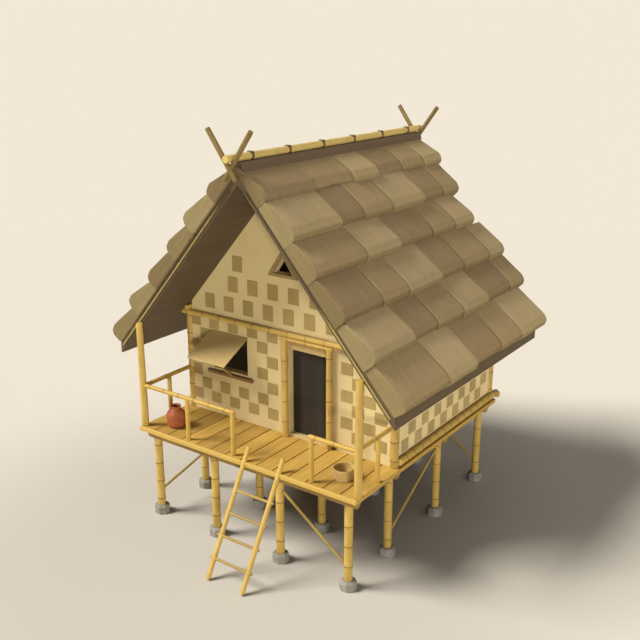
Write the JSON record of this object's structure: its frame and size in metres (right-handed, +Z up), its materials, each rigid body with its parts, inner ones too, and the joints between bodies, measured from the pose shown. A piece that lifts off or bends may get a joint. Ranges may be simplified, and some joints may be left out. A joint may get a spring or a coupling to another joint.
{
  "type": "stilt house",
  "caption": "Bamboo house raised on stilts, with a railed veranda, ladder, hinged door, propped window flap, woven walls and a steep roof of thatch bundles.",
  "frame": {"origin": "on the ground, under the middle of the whole object's bounding box", "axes": "+Z up, -Y towards the veranda and ladder, +X to the right of someone facing the door from outside; the ridge runs along Y"},
  "size_m": [6.8896, 7.5207, 7.945],
  "materials": {
    "stone": "rough",
    "bamboo": "satin",
    "bamboo_pale": "satin",
    "split_bamboo": "matte",
    "log": "matte",
    "deck_boards": "matte",
    "woven_mat": "matte",
    "flap_mat": "matte",
    "sill_wood": "matte",
    "door_wood": "matte",
    "plank": "matte",
    "roof_board": "matte",
    "ridge_wood": "matte",
    "thatch": "rough",
    "rope": "matte",
    "finial_bamboo": "matte",
    "terracotta": "matte",
    "basketry": "matte"
  },
  "bodies": {
    "house": {"barge_poles": "split_bamboo", "base_rail_back": "bamboo", "base_rails_side": "bamboo", "basket": "basketry", "corner_posts": "bamboo", "crossed_finials": "finial_bamboo", "deck_edge_strip": "bamboo_pale", "door_frame": "bamboo", "door_threshold": "plank", "floor_bearers": "log", "floor_deck": "deck_boards", "gable_back": "woven_mat", "gable_front": "woven_mat", "ladder": "bamboo_pale", "ridge_cap": "ridge_wood", "ridge_pole": "bamboo", "ridge_ties": "rope", "roof_slab_left": "roof_board", "roof_slab_right": "roof_board", "stilt_braces": "split_bamboo", "stilts": "bamboo", "stone_footings": "stone", "thatch_course_1": "thatch", "thatch_course_2": "thatch", "thatch_course_3": "thatch", "thatch_course_4": "thatch", "thatch_course_5": "thatch", "thatch_course_6": "thatch", "vent_frame": "split_bamboo", "veranda_posts": "bamboo_pale", "veranda_rails_left": "bamboo", "veranda_rails_right": "bamboo", "wall_back": "woven_mat", "wall_front_left": "woven_mat", "wall_front_right": "woven_mat", "wall_left": "woven_mat", "wall_over_door": "woven_mat", "wall_plates_end": "bamboo", "wall_plates_side": "bamboo", "wall_right": "woven_mat", "water_jar": "terracotta", "window_flap": "flap_mat", "window_prop": "split_bamboo", "window_sill": "sill_wood"},
    "door": {"door_leaf": "door_wood"}
  },
  "joints": [
    {"name": "door_hinge", "type": "hinge", "parent": "house", "child": "door", "pos_m": [0.132, -1.076, 1.972], "axis": [0, 0, 1], "range_deg": [0, 95]}
  ]
}
